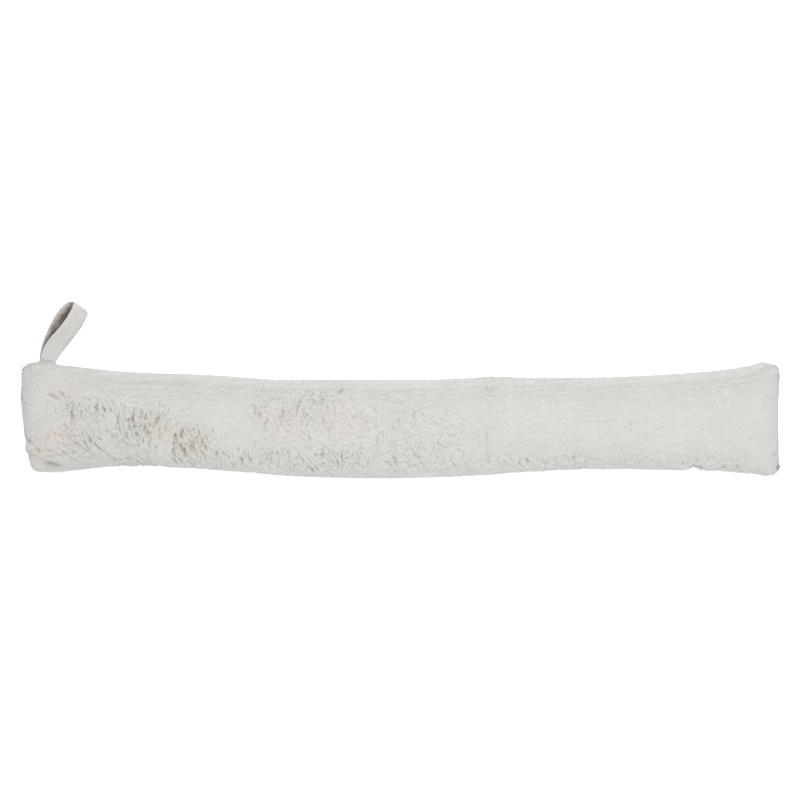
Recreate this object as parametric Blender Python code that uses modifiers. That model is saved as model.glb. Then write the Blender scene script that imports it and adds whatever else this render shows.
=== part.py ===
"""A draught excluder: a long, narrow, filled cover of short-pile plush, with a hanging loop of folded tape.

It lies on its back. +X runs along its length, +Y to the side that the loop is sewn into, +Z up from the floor.
The origin is on the flat underside, at the middle of the length. Sizes are in millimetres until the meshes
are made, and MM turns them into metres. The cover's solid reaches as far as its pile does.
"""

import math

import bmesh
import bpy
import numpy as np
from mathutils import Vector
from mathutils.bvhtree import BVHTree

MM = 0.001

# Driving sizes of the cover
LENGTH = 900.0
CORNER_RADIUS = 13.0
END_SEAM_HEIGHT = 17.0
CORNER_SEAM_HEIGHT = 11.0
# The cage of the cover: how far apart its sections are, and how many columns cross each panel
SECTION_PITCH = 21.0
COLUMNS = 12
# The seams along the sides lie at this share of the thickness
SEAM_SHARE = 0.44
# Powers of the section's curve: across, above the seams and below them
WIDTH_POWER = 2.2
UPPER_POWER = 2.15
LOWER_POWER = 2.4
# The lower half would hang this much deeper than the floor, which presses it flat
SAG = 1.32
# What the rounding of the cage takes off its outline, which the cage is larger by
ROUNDING_LOSS = 1.1

# How the panels close on the end seams: how far in the end reaches, and the powers of its round nose
UPPER_NOSE = {"reach": 92.0, "fullness": 2.3, "roundness": 2.1}
LOWER_NOSE = {"reach": 70.0, "fullness": 2.4, "roundness": 2.2}
# Sections near an end, by their distance from it
END_STEPS = (0.0, 1.6, 5.2, 10.5, 18.0, 28.0, 40.0, 54.0, 70.0)

# A row for each section: its distance from the middle, its back and front edges, and its thickness
SECTION_COLUMNS = ("along", "back", "front", "thick")
SECTIONS = (
    (-452, 77.0, -50.5, 52),
    (-437, 77.2, -50.5, 53),
    (-415, 75.4, -50.4, 55),
    (-387, 72.4, -48.8, 57),
    (-354, 68.4, -45.8, 59),
    (-307, 64.4, -43.8, 61),
    (-260, 63.2, -45.6, 61),
    (-212, 61.2, -48.6, 60),
    (-165, 57.4, -52.6, 60),
    (-118, 56.2, -56.0, 59),
    (-71, 56.6, -57.6, 58),
    (0, 56.0, -57.8, 59),
    (47, 56.6, -56.6, 58),
    (83, 58.4, -54.9, 57),
    (112, 60.8, -53.1, 59),
    (142, 58.4, -50.8, 59),
    (189, 58.4, -48.4, 61),
    (260, 59.6, -47.2, 61),
    (307, 62.0, -48.3, 59),
    (354, 65.4, -48.6, 58),
    (390, 69.0, -49.8, 56),
    (416, 73.8, -53.2, 54),
    (432, 76.2, -55.6, 53),
    (452, 76.4, -55.6, 52),
)

# A row for each end seam in plan: how much further its back corner reaches out than its front one, how far its
# middle is drawn in, and how far from the end the sections are square again
END_COLUMNS = ("side", "slant", "drawn_in", "square_from")
ENDS = (
    (-1, 11.5, -1.0, 150.0),
    (1, 1.5, 2.5, 110.0),
)

# A row for each crease or dent in the upper panel, as a soft trough between two points in plan
CREASE_COLUMNS = ("from_x", "from_y", "to_x", "to_y", "half_width", "depth")
CREASES = (
    (-414, 60, -420, 36, 9.0, 4.5),
    (-378, 4, -318, -40, 8.0, 4.0),
    (-400, -14, -372, -44, 7.0, 3.2),
    (-402, -46, -420, -43, 6.0, 4.5),
    (-352, 24, -340, -8, 8.0, 2.6),
    (-262, 12, -258, -22, 9.0, 2.6),
    (-213, -4, -206, -42, 9.0, 2.8),
    (-172, -16, -160, -44, 9.0, 2.4),
    (103, 10, 102, -44, 8.0, 2.6),
    (130, 52, 146, 34, 9.0, 2.0),
    (352, -34, 360, -47, 7.0, 3.2),
    (388, -30, 398, -47, 7.0, 2.8),
)
# A crease fades out above the seam, and has its full depth from this share of the upper panel's rise
CREASE_FULL_FROM = 0.65

# Driving sizes of the loop: a tape folded double, with both ends sewn into the back seam
TAPE_THICKNESS = 2.2
LOOP_LENGTH = 78.0
LOOP_GAP = 22.0
LOOP_ROOT_X = -416.0
# Room between the two bands at the root, and between the root and the cover
BAND_ROOM = 0.3
SEAT_ROOM = 0.3
# Shares of the gap above and below the loop's middle: the upper band is the straighter one
UPPER_BELLY = 0.36
LOWER_BELLY = 0.64
# How many steps each band has along it, and columns across it
LOOP_STEPS = 44
TAPE_COLUMNS = 4

# A row for each place along the loop, by its share of the length: the tape's width, its heading in plan, and its
# rise and twist, in degrees. It is gathered at the root.
RUN_COLUMNS = ("share", "width", "heading", "rise", "twist")
LOOP_RUN = (
    (0.00, 17.5, 85.0, 0.0, 6.0),
    (0.12, 20.0, 72.0, -1.0, 17.0),
    (0.30, 23.5, 60.0, -1.5, 29.0),
    (0.60, 24.0, 55.5, -1.0, 36.0),
    (1.00, 24.0, 55.0, 0.0, 35.0),
)

PLUSH_COLOUR = (0.658, 0.645, 0.617, 1.0)
TAPE_COLOUR = (0.648, 0.645, 0.622, 1.0)


def table(names, rows):
    """The rows as one array for each named column."""
    return {name: np.array([row[i] for row in rows], float) for i, name in enumerate(names)}


def smooth_read(columns, key, name, at):
    """The named column's value between its rows, on a curve with no corners at them."""
    places = columns[key]
    values = columns[name]
    slopes = np.gradient(values, places)
    i = int(np.clip(np.searchsorted(places, at) - 1, 0, len(places) - 2))
    span = places[i + 1] - places[i]
    t = (at - places[i]) / span
    rising = t * t * (3 - 2 * t)
    bent = span * t * (1 - t) * (slopes[i] * (1 - t) - slopes[i + 1] * t)
    return float(values[i] * (1 - rising) + values[i + 1] * rising + bent)


def stations():
    """Each section's distance from the middle, closer together where the ends close on their seams."""
    half = LENGTH / 2 + ROUNDING_LOSS
    inner = half - END_STEPS[-1]
    middle = np.linspace(-inner, inner, round(2 * inner / SECTION_PITCH) + 1)[1:-1]
    steps = np.array(END_STEPS)
    return np.concatenate([steps - half, middle, half - steps[::-1]])


def nose(distance, shape):
    """How far a panel has opened from its end seam: 0 on the seam, 1 where the section is full."""
    left = max(0.0, 1 - distance / shape["reach"])
    return (1 - left ** shape["fullness"]) ** (1 / shape["roundness"])


def corner_cut(distance):
    """What the round corner takes off the half width this far from the end."""
    left = max(0.0, 1 - distance / CORNER_RADIUS)
    return CORNER_RADIUS * (1 - math.sqrt(1 - left * left))


def crease_depth(x, y):
    """How deep the creases press the upper panel at a point in plan."""
    depth = 0.0
    for row in CREASES:
        crease = dict(zip(CREASE_COLUMNS, row))
        start = Vector((crease["from_x"], crease["from_y"]))
        run = Vector((crease["to_x"], crease["to_y"])) - start
        place = Vector((x, y)) - start
        share = min(1.0, max(0.0, place.dot(run) / run.length_squared))
        away = (place - run * share).length / crease["half_width"]
        depth += crease["depth"] * math.exp(-away * away)
    return depth


def section_points(along, sections):
    """The upper and the lower points of one section, from its front edge to its back edge."""
    from_end = LENGTH / 2 + ROUNDING_LOSS - abs(along)
    end = dict(zip(END_COLUMNS, ENDS[0] if along < 0 else ENDS[1]))
    askew = max(0.0, 1 - from_end / end["square_from"]) ** 2
    narrower = corner_cut(from_end) - ROUNDING_LOSS
    back = smooth_read(sections, "along", "back", along) - narrower
    front = smooth_read(sections, "along", "front", along) + narrower
    thick = smooth_read(sections, "along", "thick", along)
    upper_open = nose(from_end, UPPER_NOSE)
    lower_open = nose(from_end, LOWER_NOSE)
    upper = []
    lower = []
    for column in range(COLUMNS + 1):
        angle = math.pi * column / COLUMNS
        across = math.copysign(abs(math.cos(angle)) ** (2 / WIDTH_POWER), -math.cos(angle))
        rise = max(0.0, math.sin(angle))
        inward = end["slant"] * (1 - across) / 2 + end["drawn_in"] * (1 - across**2)
        x = along - end["side"] * askew * inward
        y = (back + front) / 2 + across * (back - front) / 2
        end_seam = END_SEAM_HEIGHT + (CORNER_SEAM_HEIGHT - END_SEAM_HEIGHT) * across**2
        seam = end_seam + (SEAM_SHARE * thick - end_seam) * upper_open
        upper_rise = upper_open * rise ** (2 / UPPER_POWER)
        lower_fall = lower_open * rise ** (2 / LOWER_POWER)
        pressed = crease_depth(x, y) * min(1.0, upper_rise / CREASE_FULL_FROM)
        upper.append((x, y, seam + (thick - seam) * upper_rise - pressed))
        lower.append((x, y, max(0.0, seam * (1 - SAG * lower_fall))))
    return upper, lower


def make_object(name, mesh, colour, collection):
    """An object of this mesh, shaded smooth, with its own cloth material."""
    material = bpy.data.materials.new(name)
    material.use_nodes = True
    shader = material.node_tree.nodes["Principled BSDF"]
    shader.inputs["Base Color"].default_value = colour
    shader.inputs["Roughness"].default_value = 0.95
    shader.inputs["Metallic"].default_value = 0.0
    mesh.materials.append(material)
    mesh.shade_smooth()
    obj = bpy.data.objects.new(name, mesh)
    collection.objects.link(obj)
    return obj


def make_cover(collection):
    """Two panels that meet in a seam all round, filled: a coarse cage of them, subdivided."""
    sections = table(SECTION_COLUMNS, SECTIONS)
    rows = [section_points(along, sections) for along in stations()]
    last = len(rows) - 1
    grid = bmesh.new()
    upper = [[grid.verts.new(Vector(point) * MM) for point in row[0]] for row in rows]
    lower = []
    for i, row in enumerate(rows):
        on_seam = [i in (0, last) or j in (0, COLUMNS) for j in range(COLUMNS + 1)]
        lower.append(
            [
                upper[i][j] if on_seam[j] else grid.verts.new(Vector(row[1][j]) * MM)
                for j in range(COLUMNS + 1)
            ]
        )
    for i in range(last):
        for j in range(COLUMNS):
            for panel, turned in ((upper, False), (lower, True)):
                corners = [panel[i][j], panel[i + 1][j], panel[i + 1][j + 1], panel[i][j + 1]]
                grid.faces.new(corners[::-1] if turned else corners)
    mesh = bpy.data.meshes.new("cover")
    grid.to_mesh(mesh)
    grid.free()
    cover = make_object("cover", mesh, PLUSH_COLOUR, collection)
    rounding = cover.modifiers.new("rounding", "SUBSURF")
    rounding.levels = 1
    rounding.render_levels = 1
    return cover


def seam_seat(cover, x):
    """The point where the cover's back edge is furthest back at this x, in millimetres."""
    tree = BVHTree.FromObject(cover, bpy.context.evaluated_depsgraph_get())
    best = None
    for height in np.linspace(CORNER_SEAM_HEIGHT, 2.5 * CORNER_SEAM_HEIGHT, 34):
        hit = tree.ray_cast(Vector((x, LENGTH, height)) * MM, Vector((0, -1, 0)))[0]
        if hit and (best is None or hit.y > best.y):
            best = hit
    return best / MM


def loop_frames(seat):
    """Places down the middle of the loop, from root to tip, each with the tape's width and its upward direction."""
    run = table(RUN_COLUMNS, LOOP_RUN)
    frames = []
    place = seat
    for i in range(LOOP_STEPS + 1):
        share = i / LOOP_STEPS
        heading, rise, twist = (
            math.radians(smooth_read(run, "share", name, share)) for name in ("heading", "rise", "twist")
        )
        forward = Vector(
            (
                math.cos(heading) * math.cos(rise),
                math.sin(heading) * math.cos(rise),
                math.sin(rise),
            )
        )
        level = Vector((math.sin(heading), -math.cos(heading), 0))
        up = level.cross(forward)
        side = math.cos(twist) * level - math.sin(twist) * up
        width = smooth_read(run, "share", "width", share)
        frames.append((place, side * width, side.cross(forward)))
        place = place + forward * (LOOP_LENGTH / LOOP_STEPS)
    return frames


def frame_at(frames, share):
    """The place, the width and the upward direction at this share of the loop's length."""
    at = share * LOOP_STEPS
    i = min(int(at), LOOP_STEPS - 1)
    return [a.lerp(b, at - i) for a, b in zip(frames[i], frames[i + 1])]


def make_loop(cover, collection):
    """The tape: up its upper band, round the tip and back down its lower band, as a sheet with a thickness."""
    seat = seam_seat(cover, LOOP_ROOT_X) + Vector((0, SEAT_ROOM, 0))
    frames = loop_frames(seat)
    root_half = (TAPE_THICKNESS + BAND_ROOM) / 2
    # A teardrop of this form is its widest, by this share, at three quarters of its length
    widest = 3 * math.sqrt(3) / 8
    strip = bmesh.new()
    rows = []
    for i in range(2 * LOOP_STEPS + 1):
        angle = math.pi * i / LOOP_STEPS
        place, width, up = frame_at(frames, math.sin(angle / 2) ** 2)
        belly = LOOP_GAP / widest * (UPPER_BELLY if i < LOOP_STEPS else LOWER_BELLY)
        off = belly * math.sin(angle) * math.sin(angle / 2) ** 2 + root_half * math.cos(angle / 2)
        middle = place + up * off
        rows.append(
            [
                strip.verts.new((middle + width * (j / TAPE_COLUMNS - 0.5)) * MM)
                for j in range(TAPE_COLUMNS + 1)
            ]
        )
    for near, far in zip(rows, rows[1:]):
        for j in range(TAPE_COLUMNS):
            strip.faces.new((near[j], near[j + 1], far[j + 1], far[j]))
    mesh = bpy.data.meshes.new("hanging_loop")
    strip.to_mesh(mesh)
    strip.free()
    loop = make_object("hanging_loop", mesh, TAPE_COLOUR, collection)
    tape = loop.modifiers.new("tape", "SOLIDIFY")
    tape.thickness = TAPE_THICKNESS * MM
    tape.offset = 0.0
    tape.use_even_offset = True
    return loop


def main():
    for obj in list(bpy.data.objects):
        bpy.data.objects.remove(obj)
    parts = bpy.data.collections.new("draught_excluder")
    bpy.context.scene.collection.children.link(parts)
    cover = make_cover(parts)
    make_loop(cover, parts)


main()
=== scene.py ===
"""The looks of a draught excluder: a long plush cushion with a hanging loop, seen from straight above."""

import math

import bpy
import numpy as np
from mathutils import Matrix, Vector
from mathutils.bvhtree import BVHTree


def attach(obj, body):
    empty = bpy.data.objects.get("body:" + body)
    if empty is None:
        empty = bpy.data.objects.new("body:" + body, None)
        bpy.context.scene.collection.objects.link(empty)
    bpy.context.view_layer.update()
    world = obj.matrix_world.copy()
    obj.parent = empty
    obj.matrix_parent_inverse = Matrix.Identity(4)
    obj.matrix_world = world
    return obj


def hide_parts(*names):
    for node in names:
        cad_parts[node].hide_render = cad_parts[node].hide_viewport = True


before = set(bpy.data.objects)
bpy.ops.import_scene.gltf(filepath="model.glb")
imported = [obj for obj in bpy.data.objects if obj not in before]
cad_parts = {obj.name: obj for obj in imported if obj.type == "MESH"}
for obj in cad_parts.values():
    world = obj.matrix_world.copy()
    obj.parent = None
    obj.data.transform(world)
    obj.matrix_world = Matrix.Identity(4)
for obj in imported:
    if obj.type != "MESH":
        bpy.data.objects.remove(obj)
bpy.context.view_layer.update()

MM = 0.001
UP = np.array([0, 0, 1])

# Picture: the photograph shows 945 mm across, centred 33.7 mm behind the part's own middle
VIEW_WIDTH = 945.0
VIEW_CENTRE_Y = 33.7
VIEW_PLANE_HEIGHT = 17.0
LENS = 200.0
SENSOR = 36.0

# The cover's half length, and a row for each end seam: its side, how far it leans and is drawn in,
# how far from the end the sections are square again, and its back and front corners
HALF_LENGTH = 450.4
ENDS = (
    (-1, 11.5, -1.0, 150.0, 77.0, -50.5),
    (1, 1.5, 2.5, 110.0, 76.4, -55.6),
)
NOSE_REACH = 92.0
NOSE_HEIGHT = 30.0

# The cloth simulation of the cover: its mesh, how much smaller it starts, the pressure of its filling,
# its frames, and how far a point may move
VOXEL = 4.5
SHRUNK = 2.0
PRESSURE = 4.0
SIMULATED_FRAMES = 16
MOST_MOVED = 3.5
# How far from an end its sections begin, and the length over which they are blended in
PAD_FROM_END = 9.0
PAD_BLEND = 40.0

# Skin: steps along and around, and how deep it lies under the tips of the pile
SKIN_STEP = 1.5
UPPER_COLUMNS = 108
LOWER_COLUMNS = 44
SKIN_DEPTH = 3.2
SKIN_DEPTH_BELOW = 0.9
SKIN_DEPTH_BACK = 1.0
FACET_SMOOTHING = 3.0
# How far the skin is drawn in at the end seams, and how far from them. Then how much more it is drawn
# in at the back left corner, where that is in plan, and how far from it
DRAWN_IN = 0.5
END_REACH = 7.0
CORNER_DRAWN_IN = 1.5
CORNER = (-449.0, 64.0)
CORNER_RADIUS = 16.0

# Noise: the size of the surface it covers, and its step
NOISE_LENGTH = 1100.0
NOISE_GIRTH = 330.0
NOISE_STEP = 0.8

# Zones of the pile in plan: centre, radii, and how deep its clumps are there
CLUMP_ZONES = (
    (-362, 24, 44, 14, 1.4),
    (-300, 6, 40, 26, 1.7),
    (-246, -20, 34, 24, 2.0),
    (-374, -14, 42, 24, 1.2),
    (-302, -34, 44, 16, 1.0),
    (-160, -34, 60, 16, 1.1),
    (-90, -36, 60, 18, 1.1),
    (-110, 20, 60, 26, 1.0),
    (-10, 0, 80, 44, 0.5),
    (20, -38, 100, 15, 0.85),
    (170, -38, 90, 11, 0.62),
    (320, -38, 90, 10, 0.52),
    (420, -48, 30, 8, 0.3),
)
CLUMP_LEAST = 0.10

# Single dark partings in the pile, in plan: from, to, half width, depth
PARTINGS = (
    (-387, 24, -386, 9, 1.5, 3.2),
    (-393, 33, -392, 22, 1.4, 2.2),
    (-358, 29, -357, 24, 1.5, 3.0),
    (-349, 27, -347, 20, 1.5, 2.8),
    (-341, 26, -339, 20, 1.5, 3.0),
    (-330, 22, -332, 5, 1.4, 2.2),
    (-323, 28, -325, 20, 1.3, 2.0),
    (-313, 24, -314, 8, 1.5, 3.2),
    (-302, 22, -305, 14, 1.4, 2.8),
    (-296, 21, -298, 12, 1.4, 2.6),
    (-281, 20, -285, 7, 1.5, 3.2),
    (-287, 7, -289, 1, 1.4, 2.4),
    (-295, -1, -298, -6, 1.4, 2.4),
    (-339, -5, -337, -15, 1.4, 2.2),
    (-327, -9, -326, -16, 1.4, 2.2),
    (-263, -5, -265, -20, 1.5, 3.2),
    (-255, 1, -258, -9, 1.5, 3.0),
    (-245, -14, -244, -24, 1.5, 3.2),
    (-239, -8, -241, -17, 1.4, 2.8),
    (-232, -9, -234, -21, 1.5, 3.0),
    (-266, -24, -265, -33, 1.4, 2.4),
    (-254, -24, -253, -33, 1.4, 2.4),
    (-228, -20, -227, -26, 1.4, 2.2),
    (-216, -26, -215, -32, 1.4, 3.0),
    (-207, -26, -206, -32, 1.4, 2.6),
    (-188, -34, -186, -40, 1.4, 3.0),
    (-178, -32, -176, -38, 1.3, 2.2),
    (-168, 30, -170, 18, 1.3, 2.2),
    (-136, 24, -138, 13, 1.3, 2.2),
    (-114, 40, -119, 29, 1.3, 2.0),
    (-101, 45, -104, 40, 1.3, 2.2),
    (-89, 35, -92, 29, 1.3, 2.0),
    (-68, 50, -72, 42, 1.3, 2.0),
    (-106, -6, -105, -14, 1.3, 2.0),
    (-92, -22, -90, -30, 1.3, 2.0),
    (-104, -46, -103, -52, 1.4, 2.6),
    (-74, -40, -72, -46, 1.3, 2.2),
    (-6, -34, -4, -44, 1.4, 2.6),
    (17, 22, 16, 14, 1.3, 1.5),
    (101, 8, 102, -12, 1.6, 0.6),
    (101, -4, 102, -26, 1.3, 1.0),
    (101, -26, 105, -42, 1.4, 1.4),
    (38, -25, 39, -19, 1.2, 1.3),
    (39, -19, 44, -16, 1.2, 1.3),
    (44, -16, 53, -21, 1.2, 1.2),
    (58, -36, 66, -44, 1.3, 1.2),
    (100, 52, 101, 47, 1.3, 1.5),
    (106, 49, 108, 44, 1.3, 1.2),
    (123, -36, 124, -44, 1.3, 1.4),
    (270, 10, 270, 5, 1.2, 1.6),
    (332, -38, 333, -44, 1.3, 1.5),
    (396, -42, 400, -48, 1.4, 1.8),
)

# Longer creases in the same columns: the combed ones, the swirl by the loop and the pockets at the
# front seam
COMBED_CREASES = (
    (-394, -7, -380, -18, 1.4, 1.2),
    (-380, -18, -364, -31, 1.4, 1.0),
    (-384, -14, -350, -40, 1.3, 1.0),
    (-402, -22, -378, -42, 1.4, 1.2),
    (-372, -9, -350, -26, 1.4, 1.2),
    (-350, -26, -336, -38, 1.3, 1.1),
    (-428, -22, -424, -28, 2.0, 1.6),
    (-414, 43, -404, 36, 2.4, 2.4),
    (-402, 46, -396, 38, 2.0, 2.2),
    (-418, -41, -402, -46, 3.6, 3.8),
    (348, -48, 356, -48, 3.0, 3.4),
    (378, -46, 384, -46, 2.4, 1.8),
)
# How deep partings go at most, and how far off straight a row of the grid may run across the cover
DEEPEST_PARTING = 4.6
ROW_SLANT = 14.0

# Small swells and dents of the outline, in plan: centre, radius, and how far out
SWELLS = (
    (424, 78, 9, 1.5),
    (436, 72, 5, -1.0),
    (348, -50, 7, -3.4),
    (360, -48, 7, 0.8),
    (-438, -15, 4, -2.0),
    (-437, -24, 5, 1.8),
    (442, -24, 5, 1.0),
)

# Tinted patches of the pile, in plan: centre, radius, and what they do to its red, green and blue
TINTS = (
    (-404, -4, 15, 1.035, 0.965, 0.940),
    (-420, -24, 12, 1.030, 0.955, 0.925),
    (-382, 8, 12, 1.015, 0.980, 0.955),
    (-402, 48, 16, 1.020, 0.980, 0.965),
    (-290, 8, 30, 1.00, 0.985, 0.945),
    (-242, -18, 28, 0.99, 0.970, 0.925),
    (-168, 18, 16, 1.00, 0.985, 0.950),
    (-130, 6, 22, 1.020, 0.980, 0.965),
    (-66, 12, 24, 1.020, 0.983, 0.968),
    (-20, 8, 22, 1.005, 0.997, 0.970),
)
# Painted shade in the partings: what is left of the pile's light colour at the bottom of a deep parting
PARTING_SHADE_TONE = (0.62, 0.58, 0.52)

# Short partings strewn in the zones: how much room each one has, in square millimetres, and their sizes
PARTING_ROOM = 46.0
PARTING_LENGTH = (3.0, 9.0)
PARTING_HALF_WIDTH = (0.9, 1.35)

# Places where the nap turns, in plan: centre, radius, and degrees towards +x
COMBED = (
    (-362, -26, 36, 46),
    (-330, -34, 30, 34),
    (-92, -32, 36, 30),
    (-140, 30, 40, -28),
    (-70, 34, 44, -30),
    (-6, 34, 30, -24),
    (-404, 40, 22, 60),
    (60, -30, 30, 24),
    (-246, -18, 40, 10),
)

# How far the nap turns from straight across where it lies along the back seam, in degrees, how far
# from that seam, and how far from the end seams it no longer does
BACK_TURN = 80.0
BACK_REACH = 17.0
BACK_FADE = 14.0

# Where the noise's ridges are cut off, and what a ridge and a lock come to on the average
RIDGE_TOP = 1.4
RIDGE_MEAN = 0.72
LOCK_MEAN = 0.45

# Pile: strands in each piece, and their sizes
PILE_STRANDS = 90000
PILE_PIECES = 4
STRAND_LENGTH = 7.4
STRAND_WIDTH = 1.0
# How deep a strand is rooted, and how far its two halves stand up from the skin, in degrees
ROOT_DEPTH = 0.5
ROOT_LEAN = 32.0
TIP_LEAN = 4.0
# How far upwards the pile's shading is turned, as its fibres pass light on
SHADE_LIFT = 0.6
# How far from the end seams strands fan out over them
END_FADE = 16.0
# The lower panel's share of strands, and how much of it is bare along the end seams
LOWER_DENSITY = 0.45
BARE_AT_ENDS = 9.0
# The least height of a strand over the floor, and half its size in the UV layer
FLOOR_ROOM = 0.2
STRAND_UV = 0.0006

# Tufts over the loop's foot: x, how far each reaches past the seam, and its half width
TUFTS = (
    (-430, 2.0, 3.0),
    (-426, 5.0, 3.0),
    (-421, 8.0, 3.2),
    (-416, 6.0, 3.2),
    (-411, 8.0, 2.8),
    (-407, 3.5, 2.4),
)
TUFT_STRANDS = 220

# The loop, as in the part's source
TAPE_THICKNESS = 2.2
LOOP_LENGTH = 78.0
LOOP_GAP = 22.0
LOOP_ROOT_X = -416.0
BAND_ROOM = 0.3
SEAT_ROOM = 0.3
UPPER_BELLY = 0.36
LOWER_BELLY = 0.64
LOOP_STEPS = 110
TAPE_COLUMNS = 22
LOOP_STRANDS = 11000
LOOP_STRAND_LENGTH = 2.6
LOOP_STRAND_WIDTH = 0.75
LOOP_STRAND_LEAN = 24.0
# A row for each place along the loop: its share, width, heading, rise and twist
LOOP_RUN = (
    (0.00, 17.5, 85.0, 0.0, 6.0),
    (0.12, 20.0, 72.0, -1.0, 17.0),
    (0.30, 23.5, 60.0, -1.5, 29.0),
    (0.60, 24.0, 55.5, -1.0, 36.0),
    (1.00, 24.0, 55.0, 0.0, 35.0),
)
# Painted shade inside the loop, partly the tape's darker back: the tape's colour there, as a share of its
# own
INNER_SHADE_TONE = (0.34, 0.28, 0.235)
# What worn patches of the tape lose of its red, green and blue
WORN_TINT = (0.0, 0.008, 0.014)

# The dark and the light colour of the pile, of the skin under it and of the tape, and their finish
PILE_COLOURS = ((0.545, 0.538, 0.519), (0.585, 0.579, 0.561))
GROUND_COLOURS = ((0.495, 0.482, 0.458), (0.545, 0.534, 0.512))
TAPE_COLOURS = ((0.535, 0.526, 0.506), (0.590, 0.582, 0.562))
GROUND_BUMP = 0.5
TAPE_BUMP = 0.35
PLUSH_FINISH = {
    "Roughness": 0.92,
    "Specular IOR Level": 0.15,
    "Sheen Weight": 0.12,
    "Sheen Roughness": 0.6,
}

# Light, in metres and watts: the key light, the world and the floor
KEY_PLACE = (0.2, 0.36, 2.7)
KEY_AIM = (0.05, 0, 0)
KEY_SIZE = 1.0
KEY_POWER = 47.5
WORLD_STRENGTH = 0.76
FLOOR_SIZE = 30.0
FLOOR_COLOUR = (0.92, 0.92, 0.92)
FLOOR_ROUGHNESS = 0.9
FLOOR_GLOW = 0.50


def unit(vectors):
    return vectors / np.maximum(np.linalg.norm(vectors, axis=-1, keepdims=True), 1e-9)


def smoothed(values, sigma, axis, closed):
    """A Gaussian blur along one axis, sigma in steps."""
    reach = int(math.ceil(3 * sigma))
    kernel = np.exp(-0.5 * (np.arange(-reach, reach + 1) / sigma) ** 2)
    kernel /= kernel.sum()
    if closed:
        return sum(w * np.roll(values, k - reach, axis) for k, w in enumerate(kernel))
    values = np.moveaxis(values, axis, 0)
    first = 2 * values[:1] - values[1 : reach + 1][::-1]
    last = 2 * values[-1:] - values[-reach - 1 : -1][::-1]
    padded = np.concatenate([first, values, last])
    total = sum(w * padded[k : k + len(values)] for k, w in enumerate(kernel))
    return np.moveaxis(total, 0, axis)


def blurred(values, down, across):
    """A Gaussian blur along the last two axes, both of them open."""
    return smoothed(smoothed(values, down, -2, False), across, -1, False)


# The skin's grid, read from the CAD cover


def vertex_rows(mesh, what):
    """The mesh's points ("co") or normals ("normal"), a row for each."""
    values = np.empty(len(mesh.vertices) * 3)
    mesh.vertices.foreach_get(what, values)
    return values.reshape(-1, 3)


def move_points(mesh, points):
    mesh.vertices.foreach_set("co", points.astype(np.float32).reshape(-1))
    mesh.update()


def welded_mesh(node):
    """The node's corner points in millimetres and its triangles, with split corners made one."""
    mesh = node.data
    mesh.calc_loop_triangles()
    faces = np.empty(len(mesh.loop_triangles) * 3, np.int32)
    mesh.loop_triangles.foreach_get("vertices", faces)
    points = vertex_rows(mesh, "co") / MM
    _, first, index = np.unique(
        np.round(points, 2), axis=0, return_index=True, return_inverse=True
    )
    faces = index.reshape(-1)[faces].reshape(-1, 3)
    a, b, c = faces.T
    return points[first], faces[(a != b) & (b != c) & (a != c)]


def filled_cover(node):
    """A copy of the CAD cover after a short cloth simulation, its skin pressed out between the seams."""
    scene = bpy.context.scene
    pad = new_object("cover_pad", node.data.copy())
    pad.matrix_world = node.matrix_world
    even = pad.modifiers.new("even", "REMESH")
    even.mode = "VOXEL"
    even.voxel_size = VOXEL * MM
    graph = bpy.context.evaluated_depsgraph_get()
    mesh = bpy.data.meshes.new_from_object(pad.evaluated_get(graph))
    pad.modifiers.clear()
    pad.data = mesh
    start = vertex_rows(mesh, "co")
    normals = vertex_rows(mesh, "normal")
    # Points on the steep sides, where the seams are, are held
    hold = np.clip(1.6 - np.abs(normals[:, 2]) / 0.3, 0, 1)
    move_points(mesh, start - normals * (SHRUNK * MM * (1 - hold))[:, None])
    group = pad.vertex_groups.new(name="seams")
    for i in np.flatnonzero(hold > 0.02):
        group.add([int(i)], float(hold[i]), "REPLACE")
    cloth = pad.modifiers.new("cloth", "CLOTH")
    cloth.settings.vertex_group_mass = "seams"
    cloth.settings.use_pressure = True
    cloth.settings.uniform_pressure_force = PRESSURE
    cloth.settings.effector_weights.gravity = 0.0
    cloth.settings.quality = 6
    cloth.point_cache.frame_start = 1
    cloth.point_cache.frame_end = SIMULATED_FRAMES
    for number in range(1, SIMULATED_FRAMES + 1):
        scene.frame_set(number)
    graph = bpy.context.evaluated_depsgraph_get()
    final = bpy.data.meshes.new_from_object(pad.evaluated_get(graph))
    move = vertex_rows(final, "co") - start
    far = np.linalg.norm(move, axis=1, keepdims=True)
    most = MOST_MOVED * MM
    move *= most * np.tanh(far / most) / np.maximum(far, 1e-9)
    moved = start + move
    moved[:, 2] = np.maximum(moved[:, 2], 0)
    move_points(final, moved)
    pad.modifiers.clear()
    pad.data = final
    scene.frame_set(1)
    return pad


def end_lean(squared, y):
    """How far the slanting end seams move a point along x."""
    lean = np.zeros_like(y)
    for side, slant, drawn_in, reach, back, front in ENDS:
        askew = np.clip(1 - (HALF_LENGTH - side * squared) / reach, 0, 1) ** 2
        across = np.clip((2 * y - back - front) / (back - front), -1, 1)
        lean = lean + side * askew * (slant * (1 - across) / 2 + drawn_in * (1 - across**2))
    return lean


def squared_up(points):
    """The points with both end seams made square to the length, so that straight cuts follow them."""
    squared = points[:, 0].copy()
    for _ in range(8):
        squared = points[:, 0] + end_lean(squared, points[:, 1])
    return np.column_stack([squared, points[:, 1:]])


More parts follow.
